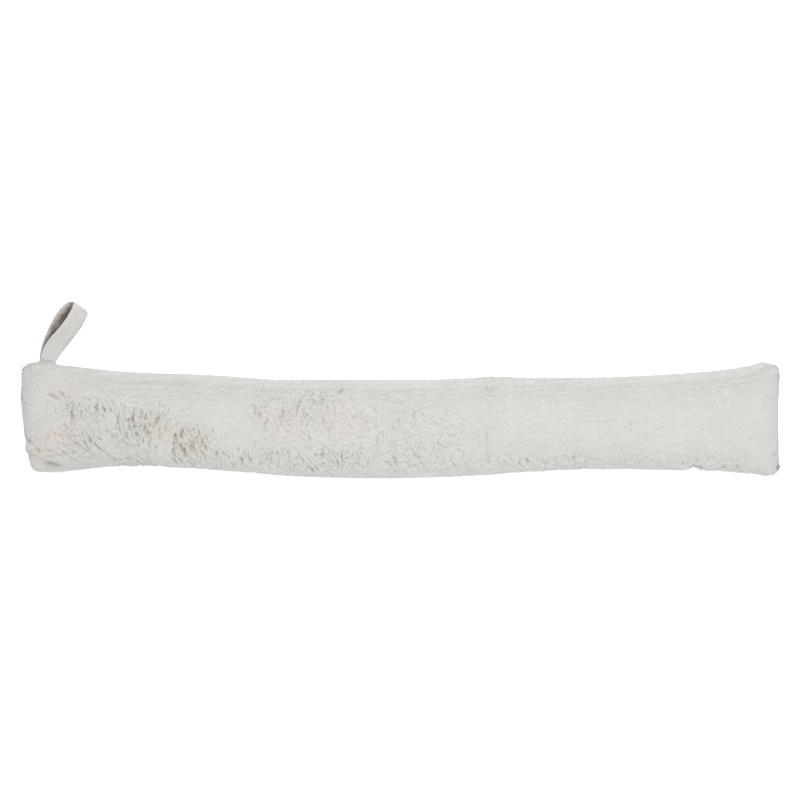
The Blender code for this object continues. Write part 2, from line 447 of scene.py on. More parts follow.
def stations():
    """Places of the sections, even along the surface, and their distances along it."""
    away = np.linspace(0, HALF_LENGTH, 20000)
    opened = (1 - np.clip(1 - away / NOSE_REACH, 0, 1) ** 2.3) ** (1 / 2.1) * NOSE_HEIGHT
    run = np.concatenate([[0], np.cumsum(np.hypot(np.diff(away), np.diff(opened)))])
    count = int(round(run[-1] / SKIN_STEP))
    half = np.interp(np.linspace(0, run[-1], count + 1), run, away)
    half[0] = 0.25
    places = np.concatenate([half - HALF_LENGTH, (HALF_LENGTH - half)[::-1][1:]])
    return places, np.arange(len(places)) * run[-1] / count


def cut_loop(points, faces, at):
    """The closed line in which a plane across the length cuts the mesh."""
    side = points[:, 0] > at
    crossing = faces[(side[faces].sum(1) % 3) != 0]
    links = {}
    for triangle in crossing:
        ends = []
        for a, b in ((0, 1), (1, 2), (2, 0)):
            p, q = triangle[a], triangle[b]
            if side[p] != side[q]:
                ends.append((p, q) if p < q else (q, p))
        links.setdefault(ends[0], []).append(ends[1])
        links.setdefault(ends[1], []).append(ends[0])
    start = next(iter(links))
    chain = [start]
    before, here = start, links[start][0]
    while here != start:
        chain.append(here)
        following = links[here][0] if links[here][0] != before else links[here][1]
        before, here = here, following
    a = points[[p for p, _ in chain]]
    b = points[[q for _, q in chain]]
    share = (at - a[:, 0]) / (b[:, 0] - a[:, 0])
    line = (a + (b - a) * share[:, None])[:, 1:]
    area = np.sum(line[:, 0] * np.roll(line[:, 1], -1) - np.roll(line[:, 0], -1) * line[:, 1])
    return line if area > 0 else line[::-1]


def seam_height(line, way):
    """The height of a section's furthest back or furthest front point."""
    reach = line[:, 0] * way
    weight = np.exp((reach - reach.max()) / 0.4)
    return float((line[:, 1] * weight).sum() / weight.sum())


def seam_place(line, way, height):
    """Where along the closed line its back or front side has this height: (index, share)."""
    middle = (line[:, 0].max() + line[:, 0].min()) / 2
    following = np.roll(line, -1, 0)
    low = np.minimum(line[:, 1], following[:, 1])
    high = np.maximum(line[:, 1], following[:, 1])
    across = (low <= height) & (high >= height) & ((line[:, 0] - middle) * way > 0)
    found = np.flatnonzero(across)
    if len(found) == 0:
        i = int(np.argmax(line[:, 0] * way))
        return i, 0.0
    i = int(found[np.argmax(line[found, 0] * way)])
    rise = following[i, 1] - line[i, 1]
    return i, float((height - line[i, 1]) / rise) if abs(rise) > 1e-6 else 0.0


def resampled(line, start, end, count):
    """Even points along the closed line from one place on it to another, the end left out."""
    total = len(line)
    steps = (end[0] - start[0]) % total
    if steps == 0 and end[1] <= start[1]:
        steps = total
    middle = [line[(start[0] + 1 + k) % total] for k in range(steps)]
    first = line[start[0]] + (line[(start[0] + 1) % total] - line[start[0]]) * start[1]
    last = line[end[0]] + (line[(end[0] + 1) % total] - line[end[0]]) * end[1]
    path = np.array([first, *middle, last])
    run = np.concatenate([[0], np.cumsum(np.linalg.norm(np.diff(path, axis=0), axis=1))])
    at = np.linspace(0, run[-1], count + 1)[:-1]
    return np.column_stack([np.interp(at, run, path[:, k]) for k in (0, 1)])


def section_rows(node, places):
    """Sections of a closed mesh at these places, each from the back seam over the top and round below."""
    points, faces = welded_mesh(node)
    points = squared_up(points)
    lines = [cut_loop(points, faces, at) for at in places]
    heights = {}
    for way in (1, -1):
        raw = np.array([seam_height(line, way) for line in lines])
        heights[way] = smoothed(raw, 5, 0, False)
    rows = []
    for i, line in enumerate(lines):
        back = seam_place(line, 1, heights[1][i])
        front = seam_place(line, -1, heights[-1][i])
        upper = resampled(line, back, front, UPPER_COLUMNS)
        lower = resampled(line, front, back, LOWER_COLUMNS)
        rows.append(np.concatenate([upper, lower]))
    flat = smoothed(np.array(rows), FACET_SMOOTHING, 0, False)
    return smoothed(flat, 1.2, 1, True)


def cover_grid(node, pad):
    """Points on the cover, a row for each section: the pad's, and the CAD cover's own at both ends."""
    places, along = stations()
    flat = section_rows(node, places)
    if pad:
        from_end = HALF_LENGTH - np.abs(places)
        inner = from_end > PAD_FROM_END
        share = np.clip((from_end[inner] - PAD_FROM_END) / PAD_BLEND, 0, 1)
        share = (share**2 * (3 - 2 * share))[:, None, None]
        flat[inner] += share * (section_rows(pad, places[inner]) - flat[inner])
    squared = np.repeat(places[:, None], flat.shape[1], 1)
    grid = np.concatenate([squared[..., None], flat], axis=2)
    grid[..., 0] -= end_lean(squared, flat[..., 0])
    return grid, along


def grid_normals(grid):
    """Outward normals of a grid that is open along its first axis and closed round its second."""
    down = np.gradient(grid, axis=0)
    round_it = np.roll(grid, -1, 1) - np.roll(grid, 1, 1)
    return unit(np.cross(round_it, down))


def cell_sizes(grid):
    """How wide the cells of such a grid are round it, and how long they are down it."""
    across = np.linalg.norm(np.roll(grid, -1, 1) - grid, axis=2)
    down = np.linalg.norm(np.gradient(grid, axis=0), axis=2)
    return across, down


# Noise and the height field of the pile


class Cloud:
    """Smooth noise over the surface, with spots of a size along it and a size around it, in millimetres."""

    def __init__(self, size_along, size_around, seed):
        shape = (int(NOISE_LENGTH / NOISE_STEP), int(NOISE_GIRTH / NOISE_STEP))
        rng = np.random.default_rng(seed)
        spectrum = np.fft.rfft2(rng.standard_normal(shape))
        f_along = np.fft.fftfreq(shape[0], NOISE_STEP)[:, None]
        f_around = np.fft.rfftfreq(shape[1], NOISE_STEP)[None, :]
        spectrum *= np.exp(-((f_along * size_along) ** 2 + (f_around * size_around) ** 2))
        field = np.fft.irfft2(spectrum, s=shape)
        self.field = field / field.std()

    def at(self, s, t):
        rows, columns = self.field.shape
        i, j = s / NOISE_STEP, t / NOISE_STEP
        i0, j0 = np.floor(i).astype(int), np.floor(j).astype(int)
        u, v = i - i0, j - j0
        f = self.field
        a, b = i0 % rows, (i0 + 1) % rows
        c, d = j0 % columns, (j0 + 1) % columns
        near = f[a, c] * (1 - v) + f[a, d] * v
        far = f[b, c] * (1 - v) + f[b, d] * v
        return near * (1 - u) + far * u


class Locks:
    """The pile's locks: uneven cells over the surface, with a size across the nap and one along it."""

    def __init__(self, across, along, seed):
        self.across, self.along = across, along
        self.jitter = np.random.default_rng(seed).uniform(-0.4, 0.4, (256, 64, 2))

    def nearest(self, p, q):
        """How far each place is from its lock's middle, in spacings, and how far across the nap, in mm."""
        u, v = p / self.across, q / self.along
        column = np.floor(u).astype(int)
        best = np.full(u.shape, 9.0)
        aside = np.zeros_like(u)
        for step_across in (-1, 0, 1):
            a = column + step_across
            shift = 0.5 * (a % 2)
            line = np.floor(v - shift).astype(int)
            for step_along in (-1, 0, 1):
                b = line + step_along
                du = u - (a + 0.5 + self.jitter[a % 256, b % 64, 0])
                dv = v - (b + 0.5 + shift + self.jitter[a % 256, b % 64, 1])
                far = np.hypot(du, dv)
                closer = far < best
                best = np.where(closer, far, best)
                aside = np.where(closer, du * self.across, aside)
        return best, aside


def bell(distance):
    return np.exp(-(distance**2))


# The two sizes of lock, and how much each lifts the pile
LOCKS = ((Locks(6.2, 17.0, 51), 1.25), (Locks(3.3, 8.0, 52), 0.9))


def clump_depth(x, y):
    """How deep the pile's clumps are at a place in plan, in millimetres."""
    depth = np.full_like(x, CLUMP_LEAST)
    for cx, cy, rx, ry, amount in CLUMP_ZONES:
        depth = np.maximum(depth, amount * bell(np.hypot((x - cx) / rx, (y - cy) / ry)))
    return depth


def strewn_partings():
    """Short partings in each zone of clumps, along the nap there, as rows like those of PARTINGS."""
    rng = np.random.default_rng(41)
    rows = []
    for cx, cy, rx, ry, amount in CLUMP_ZONES:
        for _ in range(int(math.pi * rx * ry / PARTING_ROOM)):
            far, way = math.sqrt(rng.random()), rng.uniform(0, 2 * math.pi)
            x, y = cx + rx * far * math.cos(way), cy + ry * far * math.sin(way)
            turn = math.radians(combed_turn(x, y) + rng.normal(0, 14))
            half = rng.uniform(*PARTING_LENGTH) / 2
            dx, dy = half * math.sin(turn), -half * math.cos(turn)
            deep = (0.3 + 0.75 * amount) * (1.15 - 0.6 * far) * rng.uniform(0.4, 1.5)
            rows.append((x - dx, y - dy, x + dx, y + dy, rng.uniform(*PARTING_HALF_WIDTH), deep))
    return rows


def parting_depth(x, y):
    """How far the partings go down at each place. Only the rows of the grid near one are worked out."""
    depth = np.zeros_like(x)
    middle = x[:, UPPER_COLUMNS // 2]
    for x0, y0, x1, y1, half_width, deep in (*PARTINGS, *COMBED_CREASES, *strewn_partings()):
        room = 3 * half_width + ROW_SLANT
        near = slice(
            int(np.searchsorted(middle, min(x0, x1) - room)),
            int(np.searchsorted(middle, max(x0, x1) + room)),
        )
        px, py = x[near, :UPPER_COLUMNS], y[near, :UPPER_COLUMNS]
        run = np.array([x1 - x0, y1 - y0], float)
        share = np.clip(((px - x0) * run[0] + (py - y0) * run[1]) / (run @ run), 0, 1)
        away = np.hypot(px - x0 - share * run[0], py - y0 - share * run[1])
        fade = np.sqrt(np.clip(1.15 - (2 * share - 1) ** 2, 0, 1))
        depth[near, :UPPER_COLUMNS] += deep * bell(away / half_width) * fade
    return DEEPEST_PARTING * np.tanh(depth / DEEPEST_PARTING)


def combed_turn(x, y):
    """How far the nap is combed round at a place in plan, in degrees."""
    return sum(
        degrees * bell(np.hypot(x - cx, y - cy) / radius) for cx, cy, radius, degrees in COMBED
    )


def nap_turn(x, y, s, t):
    """How far the nap turns from straight across towards +x, in radians."""
    drift = 7 * Cloud(60, 50, 31).at(s, t) + 5 * Cloud(16, 20, 32).at(s, t)
    return np.radians(drift + combed_turn(x, y))


def pile_field(grid, normals, s, t):
    """The height of the pile's clumps over the skin, and how far its nap turns, on the grid."""
    x, y = grid[..., 0], grid[..., 1]
    on_top = np.clip(normals[..., 2] * 2 + 1, 0, 1)
    turn = nap_turn(x, y, s, t) * on_top
    step = np.diff(t, axis=1, prepend=0)
    slide = np.cumsum(np.tan(turn) * step, axis=1)
    slide -= slide[:, UPPER_COLUMNS // 2][:, None]
    across_nap = s - slide + 2.2 * Cloud(14, 18, 11).at(s, t)
    along_nap = t + 3.0 * Cloud(16, 14, 12).at(s, t)
    noises = (Cloud(*sizes).at(across_nap, along_nap) for sizes in ((4.4, 11, 13), (2.6, 6.0, 14)))
    coarse, fine = (np.sqrt(np.minimum(np.abs(noise), RIDGE_TOP) / RIDGE_TOP) for noise in noises)
    patchy = np.clip(0.8 + 0.5 * Cloud(18, 18, 15).at(s, t), 0.15, 1.7)
    depth = clump_depth(x, y) * on_top + 0.3 * (1 - on_top)
    height = depth * patchy * (coarse - RIDGE_MEAN) * 1.2
    height = height + (0.06 + 0.20 * depth) * (fine - RIDGE_MEAN)
    height = height - parting_depth(x, y) * on_top
    for locks, lift in LOCKS:
        height = height + lift * depth * (LOCK_MEAN - locks.nearest(across_nap, along_nap)[0])
    return height, turn, depth, across_nap, along_nap


# Meshes


def new_object(name, mesh):
    obj = bpy.data.objects.new(name, mesh)
    bpy.context.scene.collection.objects.link(obj)
    return obj


def tube_quads(rows, columns):
    """The cells of a grid that is closed round its second axis: their rows, columns and corners."""
    i, j = np.meshgrid(np.arange(rows), np.arange(columns), indexing="ij")
    i, j = i.reshape(-1), j.reshape(-1)
    k = (j + 1) % columns
    above, below = i * columns, (i + 1) * columns
    return i, j, np.column_stack([above + j, above + k, below + k, below + j])


def mesh_from_arrays(name, points, faces, corner_uv):
    """A mesh from numpy arrays: points in millimetres, a row of corners for each face, and their UVs."""
    mesh = bpy.data.meshes.new(name)
    mesh.vertices.add(len(points))
    mesh.vertices.foreach_set("co", (points * MM).astype(np.float32).reshape(-1))
    mesh.loops.add(faces.size)
    mesh.loops.foreach_set("vertex_index", faces.astype(np.int32).reshape(-1))
    mesh.polygons.add(len(faces))
    starts = np.arange(len(faces)) * faces.shape[1]
    mesh.polygons.foreach_set("loop_start", starts.astype(np.int32))
    mesh.update(calc_edges=True)
    layer = mesh.uv_layers.new(name="OFBake")
    layer.data.foreach_set("uv", corner_uv.astype(np.float32).reshape(-1))
    mesh.polygons.foreach_set("use_smooth", np.ones(len(mesh.polygons), bool))
    mesh.validate()
    return mesh


def make_skin(grid, along, girth, tone):
    """The cover's own surface, closed at both ends along its seams."""
    rows, columns = grid.shape[:2]
    ends = []
    for i, side in ((0, -1), (rows - 1, 1)):
        ring = grid[i]
        order_up = np.argsort(ring[:UPPER_COLUMNS, 1])
        order_down = np.argsort(ring[UPPER_COLUMNS:, 1]) + UPPER_COLUMNS
        high = np.interp(ring[:, 1], ring[order_up, 1], ring[order_up, 2])
        low = np.interp(ring[:, 1], ring[order_down, 1], ring[order_down, 2])
        middle = ring.copy()
        middle[:, 2] = (high + low) / 2
        middle[:, 0] += side * 0.3
        ends.append(middle)
    points = np.concatenate([ends[0][None], grid, ends[1][None]])
    s = np.concatenate([[along[0] - 1], along, [along[-1] + 1]])
    s = (s - s[0]) / (s[-1] - s[0])
    t = np.concatenate([girth, girth[:, :1] * 0 + 1], axis=1)
    t = np.concatenate([t[:1], t, t[-1:]])
    i, j, quads = tube_quads(rows + 1, columns)
    corner_s = np.column_stack([s[i], s[i], s[i + 1], s[i + 1]])
    corner_t = np.column_stack([t[i, j], t[i, j + 1], t[i + 1, j + 1], t[i + 1, j]])
    uv = np.stack([corner_s, corner_t], axis=-1)
    mesh = mesh_from_arrays("cover_skin", points.reshape(-1, 3), quads, uv)
    set_tone(mesh, np.concatenate([tone[:1], tone, tone[-1:]]).reshape(-1, 3))
    return new_object("cover_skin", mesh)


class Reader:
    """Reads values between the points of the grid."""

    def __init__(self, i, j, rows, columns):
        self.i0 = np.minimum(np.floor(i).astype(int), rows - 2)
        self.j0 = np.floor(j).astype(int) % columns
        self.j1 = (self.j0 + 1) % columns
        self.u = i - self.i0
        self.v = j - np.floor(j)

    def read(self, values):
        u, v = self.u, self.v
        if values.ndim == 3:
            u, v = u[:, None], v[:, None]
        near = values[self.i0, self.j0] * (1 - v) + values[self.i0, self.j1] * v
        far = values[self.i0 + 1, self.j0] * (1 - v) + values[self.i0 + 1, self.j1] * v
        return near * (1 - u) + far * u


def swell(grid):
    """How far the outline's small swells and dents move the skin out."""
    out = np.zeros(grid.shape[:2])
    for cx, cy, radius, amount in SWELLS:
        out += amount * bell(np.hypot(grid[..., 0] - cx, grid[..., 1] - cy) / radius)
    return out


def pile_tones(grid, height):
    """The pile's tint over the grid, and the painted shade that makes it warmer and darker down in the
    partings.
    """
    x, y = grid[..., 0], grid[..., 1]
    # Painted shade: darker and warmer the deeper a parting goes
    deep = np.clip((-height - 0.5) / 2.4, 0, 1)[..., None]
    shadow = 1 - deep * (1 - np.array(PARTING_SHADE_TONE))
    tone = np.ones(grid.shape)
    for cx, cy, radius, *tint in TINTS:
        share = bell(np.hypot(x - cx, y - cy) / radius)[..., None]
        tone = tone * (1 - share * (1 - np.array(tint)))
    return tone, shadow


def set_tone(mesh, tone):
    """Stores a colour for each point, holding tints and painted shade, which the pile's material multiplies
    with its own.
    """
    layer = mesh.color_attributes.new("tone", "FLOAT_COLOR", "POINT")
    colours = np.ones((len(tone), 4), np.float32)
    colours[:, :3] = tone
    layer.data.foreach_set("color", colours.reshape(-1))


def strand_mesh(name, root, middle, tip, flat, width, shade, tones, place):
    """A mesh of many bent strands, each a leaf of two triangles, widest at its middle."""
    count = len(root)
    aside = flat * (width / 2)[:, None]
    points = np.stack([root, middle - aside, middle + aside, tip], axis=1)
    points[..., 2] = np.maximum(points[..., 2], FLOOR_ROOM)
    uv = place[:, None] + STRAND_UV * np.array([[0, -1], [-1, 0], [1, 0], [0, 1]])
    first = np.arange(count)[:, None] * 4
    leaf = ([0, 2, 1], [1, 2, 3])
    triangles = np.concatenate([first + np.array(corners) for corners in leaf])
    corner_uv = np.concatenate([uv[:, corners].reshape(-1, 2) for corners in leaf])
    mesh = mesh_from_arrays(name, points.reshape(-1, 3), triangles, corner_uv)
    mesh.normals_split_custom_set_from_vertices(np.repeat(shade, 4, axis=0))
    set_tone(mesh, np.stack([tones[0], tones[1], tones[1], tones[2]], axis=1).reshape(-1, 3))
    return new_object(name, mesh)


def turned_up(flat, along, seen_from):
    """The strands' width direction, turned so that each shows its front to where it is seen from."""
    face = np.cross(flat, along)
    return np.where((face * seen_from).sum(1, keepdims=True) < 0, -flat, flat)


def scattered(density, count, rng):
    """Places on the grid for strands, as (i, j), as many to each cell as its density says."""
    columns = density.shape[1]
    total = np.cumsum(density[:-1])
    even = (np.arange(count) + rng.random(count)) / count
    picks = np.searchsorted(total, even * total[-1])
    return picks // columns + rng.random(count), picks % columns + rng.random(count)


def leaning(ahead, upright, angle):
    """A direction for each strand, at this angle from one direction towards the other."""
    return np.cos(angle)[:, None] * ahead + np.sin(angle)[:, None] * upright


def lock_pull(across_nap, along_nap):
    """How far its locks draw each strand in across the nap, and how far they lift it."""
    drawn, lifted = 0.0, 0.0
    for locks, lift in LOCKS:
        far, aside = locks.nearest(across_nap, along_nap)
        drawn = drawn - 0.24 * lift * aside
        lifted = lifted + lift * (LOCK_MEAN - far)
    return drawn, lifted


def make_pile(index, skin, envelope_normals, field, tones, from_end, t, girth_share, length_share):
    """One of the pieces of pile: tapered strands that stand on the skin and lie along the nap."""
    height, turn, depth, across_nap, along_nap = field
    rows, columns = skin.shape[:2]
    rng = np.random.default_rng(100 + index)
    across, down = cell_sizes(skin)
    density = across * down
    near_end = bell(np.clip(from_end - BARE_AT_ENDS, 0, None) / END_REACH)
    density[:, UPPER_COLUMNS:] *= LOWER_DENSITY * (1 - near_end[:, UPPER_COLUMNS:])
    density[: rows * index // PILE_PIECES] = 0
    density[rows * (index + 1) // PILE_PIECES :] = 0
    i, j = scattered(density, PILE_STRANDS, rng)
    here = Reader(i, j, rows, columns)
    normal = unit(here.read(envelope_normals))
    around = unit(here.read(unit(np.roll(skin, -1, 1) - np.roll(skin, 1, 1))))
    sideways = unit(here.read(unit(np.gradient(skin, axis=0))))
    upper = t[:, UPPER_COLUMNS][:, None]
    girth = (t[:, -1] + across[:, -1])[:, None]
    under_share = here.read((t - upper) / (girth - upper))
    onward = np.clip(1 - 2 * (under_share - 0.35) / 0.3, -1, 1)[:, None]
    nap = unit(around * onward + sideways * 0.8 * (1 - np.abs(onward)))
    at_back = bell(here.read(np.minimum(t, girth - t)) / BACK_REACH)
    slope_s = here.read(np.gradient(height, axis=0) / np.maximum(down, 0.2))
    rise_t = np.roll(height, -1, 1) - np.roll(height, 1, 1)
    slope_t = here.read(rise_t / np.maximum(2 * across, 0.4))
    rough = np.clip(here.read(depth), 0.1, 2.0)
    clumped = np.minimum(rough, 1)
    strength = np.minimum(rough, 1.3)
    to_end = here.read(from_end)
    at_end = bell(to_end / END_FADE)
    at_back *= 1 - bell(to_end / BACK_FADE)
    angle = here.read(turn) * (1 - at_back) + math.radians(BACK_TURN) * at_back
    angle += rng.normal(0, 1, PILE_STRANDS) * (0.03 + 0.10 * rough)
    end_way = np.where(i < rows / 2, -1.0, 1.0) * np.where(here.j0 < UPPER_COLUMNS, 1.0, -0.7)
    outward = (at_end * end_way)[:, None] * sideways
    ahead = unit(leaning(nap, sideways, angle) + 1.2 * outward)
    beside = unit(np.cross(ahead, normal))
    length = STRAND_LENGTH * (1.05 - 0.28 * clumped) * rng.uniform(0.8, 1.15, PILE_STRANDS)
    length *= np.clip(1 + 0.16 * here.read(height), 0.55, 1.2)
    below = 1 - np.clip(normal[:, 2] * 2 + 1.6, 0, 1)
    vary = rng.normal(0, 1, (2, PILE_STRANDS)) * (1.2 + 4 * rough)
    root_lean = np.radians(ROOT_LEAN + 8 * rough + vary[0]) * (1 - 0.75 * below)
    tip_lean = np.radians(TIP_LEAN + 4 * rough + vary[1]) * (1 - below)
    gathered, crest = lock_pull(here.read(across_nap), here.read(along_nap) + 4)
    pull = (np.clip(slope_s, -1.6, 1.6) + strength * gathered)[:, None] * sideways
    pull += 0.5 * np.clip(slope_t, -1.6, 1.6)[:, None] * nap
    pull += (0.35 * strength * crest)[:, None] * normal
    root = here.read(skin) - normal * ROOT_DEPTH
    half = (length / 2)[:, None]
    middle = root + half * leaning(ahead, normal, root_lean) + 0.5 * pull
    tip = middle + half * leaning(ahead, normal, tip_lean) + 1.1 * pull
    roll = np.clip(rng.normal(0, 1, PILE_STRANDS) * (0.05 + 0.22 * rough), -1.2, 1.2)
    steep = np.clip(1.2 - np.abs(normal[:, 2]), 0, 1) * np.clip(normal[:, 1] * 3, 0, 1)
    roll -= 0.8 * at_back * steep * np.tanh(5 * beside[:, 2])
    flat = leaning(beside, normal, roll)
    from_above = np.maximum(np.clip((normal[:, 2] + 0.4) / 0.4, 0, 1), np.clip(3 * at_end, 0, 1))
    flat = turned_up(flat, tip - root, unit(normal + 3 * from_above[:, None] * UP))
    width = STRAND_WIDTH * (1.45 - 0.5 * clumped) * rng.uniform(0.75, 1.2, PILE_STRANDS)
    share = (0.06 + 0.18 * clumped)[:, None]
    facing = unit(np.cross(flat, tip - root))
    sunk = np.clip(0.9 - normal[:, 2], 0, 1) * (1 - below)
    raised = SHADE_LIFT + 0.5 * sunk + at_end * (0.7 + (normal[:, 2] < 0.5))
    shade = unit((1 - share) * normal + share * facing + raised[:, None] * UP)
    # Painted shade and light: the roots take the full parting shade and a random darkening, the middles
    # half of it and the tips none. Where the pile clumps, every strand is painted lighter against the shade
    # it casts on itself
    tint, shadow = here.read(tones[0]) * (1 + 0.085 * strength)[:, None], here.read(tones[1])
    roots = tint * shadow * (1 - (0.03 + 0.10 * strength) * rng.random(PILE_STRANDS))[:, None]
    middles = tint * (0.45 + 0.55 * shadow)
    place = np.column_stack([here.read(length_share), np.clip(here.read(girth_share), 0.001, 0.999)])
    return strand_mesh(
        f"pile_{index + 1}", root, middle, tip, flat, width, shade, (roots, middles, tint), place
    )


def random_places(count, rng):
    """Places in the UV layer for strands that aren't on the cover's own grid."""
    return np.column_stack([rng.random(count) * 0.9 + 0.05, rng.random(count) * 0.9 + 0.05])


def make_foot_tufts(skin, normals, seat):
    """Tufts of the cover's pile that lie over the loop's foot."""
    rng = np.random.default_rng(71)
    upper = skin[:, :UPPER_COLUMNS]
    rows = np.flatnonzero(np.abs(upper[:, 0, 0] - LOOP_ROOT_X) < 30)
    groups = []
    for middle_x, reach, half_width in TUFTS:
        for _ in range(TUFT_STRANDS):
            x = middle_x + rng.normal(0, 0.5) * half_width
            i = rows[np.argmin(np.abs(upper[rows, 0, 0] - x))]
            above = upper[i, :, 2] - seat.z
            j = int(rng.choice(np.flatnonzero((above > 0.5) & (above < 9) & (upper[i, :, 1] > 40))))
            long = reach * rng.uniform(-0.3, 1.0) * (1 - 0.3 * min(abs(x - middle_x) / half_width, 1))
            leant = x + 0.3 * (middle_x - x) + rng.normal(0, 2.4)
            edge = upper[i, :, 1].max() + 0.5
            groups.append((*upper[i, j], *normals[i, j], leant, edge + long))
    groups = np.array(groups)
    count = len(groups)
    normal = groups[:, 3:6]
    root = groups[:, :3] - normal
    height = seat.z + 2.8 + 0.45 * (groups[:, 2] - seat.z - 0.5) + rng.normal(0, 0.4, count)
    tip = np.column_stack([groups[:, 6], groups[:, 7], height])
    middle = (root + tip) / 2 + np.array([0, 0, 1.0])
    flat = np.tile([1.0, 0.0, 0.0], (count, 1)) + rng.normal(0, 0.15, (count, 3))
    up = np.tile([0.0, 0.5, 1.0], (count, 1))
    flat = turned_up(unit(flat), tip - root, up)
    shade = unit(0.6 * normal + up + rng.normal(0, 0.04, (count, 3)))
    light = np.ones((count, 3)) * rng.uniform(0.97, 1.03, count)[:, None]
    # Painted shade: the roots a little darker than the rest of each strand
    roots = light * rng.uniform(0.95, 1.0, count)[:, None]
    place = random_places(count, rng)
    width = STRAND_WIDTH * rng.uniform(0.8, 1.3, count)
    return strand_mesh("foot_tufts", root, middle, tip, flat, width, shade, (roots, light, light), place)


# The loop


def loop_read(name, at):
    names = ("share", "width", "heading", "rise", "twist")
    rows = np.array(LOOP_RUN)
    shares, values = rows[:, 0], rows[:, names.index(name)]
    slopes = np.gradient(values, shares)
    k = min(max(int(np.searchsorted(shares, at)) - 1, 0), len(shares) - 2)
    span = shares[k + 1] - shares[k]
    x = (at - shares[k]) / span
    h00, h10 = 2 * x**3 - 3 * x**2 + 1, x**3 - 2 * x**2 + x
    h01, h11 = 3 * x**2 - 2 * x**3, x**3 - x**2
    return h00 * values[k] + h10 * span * slopes[k] + h01 * values[k + 1] + h11 * span * slopes[k + 1]


def seam_seat(node, x):
    """The point where the cover's back edge is furthest back at this x, in millimetres."""
    tree = BVHTree.FromObject(node, bpy.context.evaluated_depsgraph_get())
    best = None
    for tall in np.linspace(11, 28, 34):
        hit = tree.ray_cast(Vector((x, 900, tall)) * MM, Vector((0, -1, 0)))[0]
        if hit and (best is None or hit.y > best.y):
            best = hit
    return best / MM


def loop_frames(seat):
    frames = []
    place = seat
    for i in range(LOOP_STEPS + 1):
        share = i / LOOP_STEPS
        heading, rise, twist = (math.radians(loop_read(n, share)) for n in ("heading", "rise", "twist"))
        forward = Vector(
            (math.cos(heading) * math.cos(rise), math.sin(heading) * math.cos(rise), math.sin(rise))
        )
        level = Vector((math.sin(heading), -math.cos(heading), 0))
        up = level.cross(forward)
        side = math.cos(twist) * level - math.sin(twist) * up
        frames.append((place, side * loop_read("width", share), side.cross(forward)))
        place = place + forward * (LOOP_LENGTH / LOOP_STEPS)
    return frames


def frame_at(frames, share):
    at = share * LOOP_STEPS
    i = min(int(at), LOOP_STEPS - 1)
    return [a.lerp(b, at - i) for a, b in zip(frames[i], frames[i + 1])]


def tape_tone(rows, count):
    """The tape's colour at each point: painted shade inside the loop, partly the tape's darker back,
    lighter at the lower band's outer edge.
    """
    tone = np.ones((rows, count, 3))
    across = np.linspace(0, 1, TAPE_COLUMNS + 1)
    share = np.linspace(0, 1, rows)
    # Painted shade on the inside faces: full along the upper band, fading out towards the lower band's
    # outer edge, mottled
    lower = np.clip((share - 0.45) / 0.1, 0, 1)[:, None]
    shaded = 0.60 + 0.26 * np.clip((share - 0.62) / 0.38, 0, 1)[:, None]
    edge = np.clip((across[None, :] - shaded) / 0.34, 0, 1) ** 1.1
    dark = edge * lower
    shadow = np.array(INNER_SHADE_TONE)
    raw = np.random.default_rng(19).normal(0, 1, (2, *dark.shape))
    broad, fine = blurred(raw[0], 5, 2.5), blurred(raw[1], 1.6, 0.8)
    spots = broad / broad.std() + 0.8 * fine / fine.std()
    dark = np.clip(dark + (0.19 - 0.13 * dark) * spots, 0, 1)
    tone[:, TAPE_COLUMNS + 1 :] = shadow + (1 - shadow) * dark[..., None]
    worn = blurred(np.random.default_rng(23).normal(0, 1, (2, rows, TAPE_COLUMNS + 1)), 7, 4)
    worn /= worn.std()
    lost = np.clip(worn[1], 0, 2)[..., None] * WORN_TINT
    tone[:, : TAPE_COLUMNS + 1] = (1 + 0.022 * worn[0])[..., None] - lost
    return tone


def make_loop(seat):
    """The tape: up its upper band, round the tip and back down its lower band."""
    frames = loop_frames(seat)
    root_half = (TAPE_THICKNESS + BAND_ROOM) / 2
    widest = 3 * math.sqrt(3) / 8
    middles = []
    rows = 2 * LOOP_STEPS + 1
    for i in range(rows):
        angle = math.pi * i / LOOP_STEPS
        place, width, up = frame_at(frames, math.sin(angle / 2) ** 2)
        belly = LOOP_GAP / widest * (UPPER_BELLY if i < LOOP_STEPS else LOWER_BELLY)
        off = belly * math.sin(angle) * math.sin(angle / 2) ** 2 + root_half * math.cos(angle / 2)
        middle = place + up * off
        middles.append([list(middle + width * (j / TAPE_COLUMNS - 0.5)) for j in range(TAPE_COLUMNS + 1)])
    middles = np.array(middles)
    run = np.gradient(middles, axis=0)
    across = np.gradient(middles, axis=1)
    normals = unit(np.cross(across, run))
    share = np.linspace(-1, 1, TAPE_COLUMNS + 1)
    half = TAPE_THICKNESS / 2 * np.sqrt(1 - np.abs(share) ** 5 * 0.96)
    soft = blurred(np.random.default_rng(7).normal(0, 1, (rows, TAPE_COLUMNS + 1)), 5, 2.5)
    soft *= 0.24 / soft.std()
    over = middles + normals * (half * (1 + soft))[..., None]
    under = middles - normals * (half * (1 + soft[::-1]))[..., None]
    ring = np.concatenate([over, under[:, ::-1]], axis=1)
    count = ring.shape[1]
    i, j, quads = tube_quads(rows - 1, count)
    u = np.column_stack([j, j + 1, j + 1, j]) / count
    v = np.column_stack([i, i, i + 1, i + 1]) / (rows - 1)
    uv = np.stack([u, v], axis=-1)
    mesh = mesh_from_arrays("loop_tape", ring.reshape(-1, 3), quads, uv)
    loop = new_object("loop_tape", mesh)
    tone = tape_tone(rows, count)
    set_tone(mesh, tone.reshape(-1, 3))
    return loop, ring, tone


